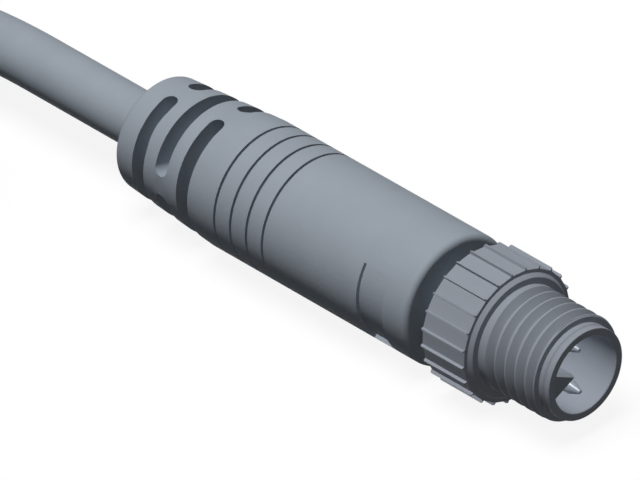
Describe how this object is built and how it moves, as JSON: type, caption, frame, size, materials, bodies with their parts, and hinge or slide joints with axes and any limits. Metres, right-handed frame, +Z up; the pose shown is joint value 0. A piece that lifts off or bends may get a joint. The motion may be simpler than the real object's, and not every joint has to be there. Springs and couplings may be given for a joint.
{
  "type": "straight circular cable plug",
  "caption": "Straight moulded cable plug with pins behind a threaded, knurled coupling nut, a slotted grip, and a coiled cable that ends in flying leads.",
  "frame": {"origin": "on the surface the plug lies on, under the middle of the plug's length, on the mating axis in plan", "axes": "+X along the mating axis, out of the socket; +Z up; the key is on the -Y side"},
  "size_m": [0.1064, 0.0573, 0.0179],
  "materials": {
    "grip": "fine matte moulded grip",
    "inner": "matte moulding",
    "insert": "smooth moulded insert",
    "nut": "satin plated metal",
    "pin": "smooth plated pin",
    "copper": "stranded copper",
    "tinned": "tinned strands",
    "core_brown": "core insulation",
    "core_blue": "core insulation",
    "cable": "satin cable jacket",
    "strap": "woven strap"
  },
  "bodies": {
    "plug": {"overmould_grip": "grip", "inner_mould": "inner", "contact_insert": "insert", "contact_pin_1": "pin", "contact_pin_2": "pin", "conductor_1": "copper", "conductor_2": "copper", "core_1": "core_brown", "core_2": "core_blue", "cable_lead": "cable", "cable_coil": "cable", "cable_tail": "cable", "coil_strap_1": "strap", "coil_strap_2": "strap", "lead_1": "core_brown", "lead_2": "core_blue", "lead_end_1": "tinned", "lead_end_2": "tinned"},
    "nut": {"coupling_nut": "nut"}
  },
  "joints": [
    {"name": "nut_spin", "type": "hinge", "parent": "plug", "child": "nut", "pos_m": [0.01252, 0, 0.00525], "axis": [1, 0, 0], "continuous": true}
  ]
}
